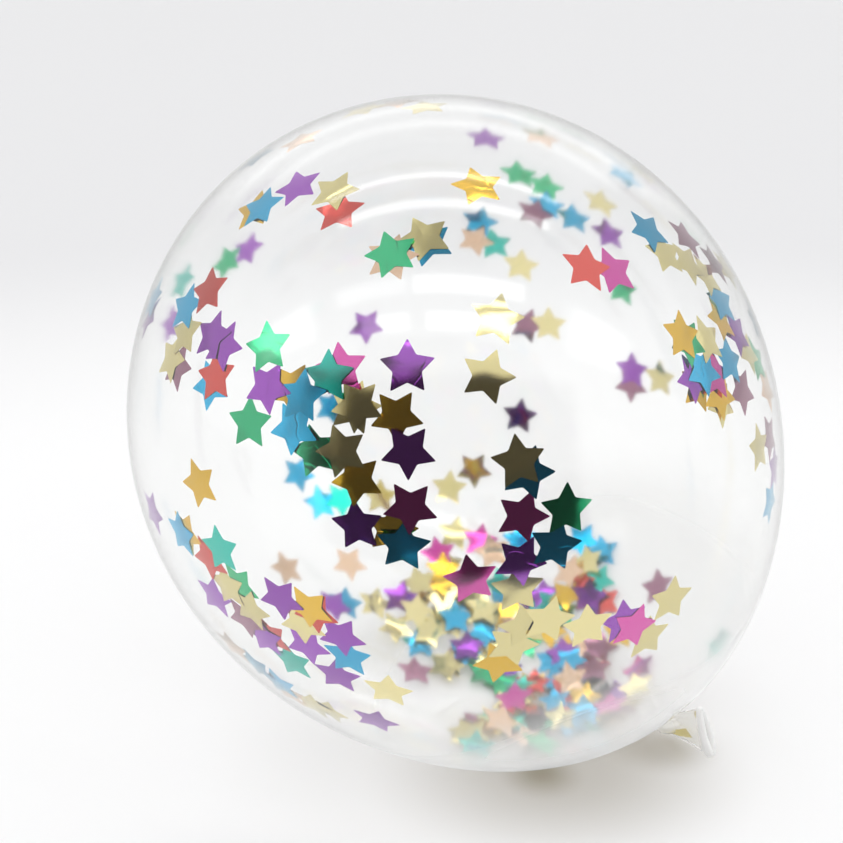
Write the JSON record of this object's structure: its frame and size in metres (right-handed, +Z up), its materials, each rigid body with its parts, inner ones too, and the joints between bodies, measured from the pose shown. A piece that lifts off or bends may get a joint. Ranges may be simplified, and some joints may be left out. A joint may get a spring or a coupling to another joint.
{
  "type": "clear bubble balloon",
  "caption": "Clear, sealed, egg-shaped party balloon lying on its side-bottom, with a gathered neck, a tied knot and a flared tail with a rolled lip; loose foil star confetti clings inside.",
  "frame": {"origin": "middle of the small flat spot that the balloon rests on", "axes": "+Z up; +X to the side that the tied neck points to, down and slightly towards -Y; -Y is the front, which the picture shows"},
  "size_m": [0.2757, 0.2676, 0.2828],
  "materials": {
    "clear_film": "clear, glossy stretched film, a little milky at the gathered neck",
    "foil_purple": "thin coloured metallic foil",
    "foil_magenta": "thin coloured metallic foil",
    "foil_red": "thin coloured metallic foil",
    "foil_gold": "thin coloured metallic foil",
    "foil_champagne": "thin coloured metallic foil",
    "foil_green": "thin coloured metallic foil",
    "foil_blue": "thin coloured metallic foil"
  },
  "bodies": {
    "root": {"balloon": "clear_film"}
  },
  "joints": []
}
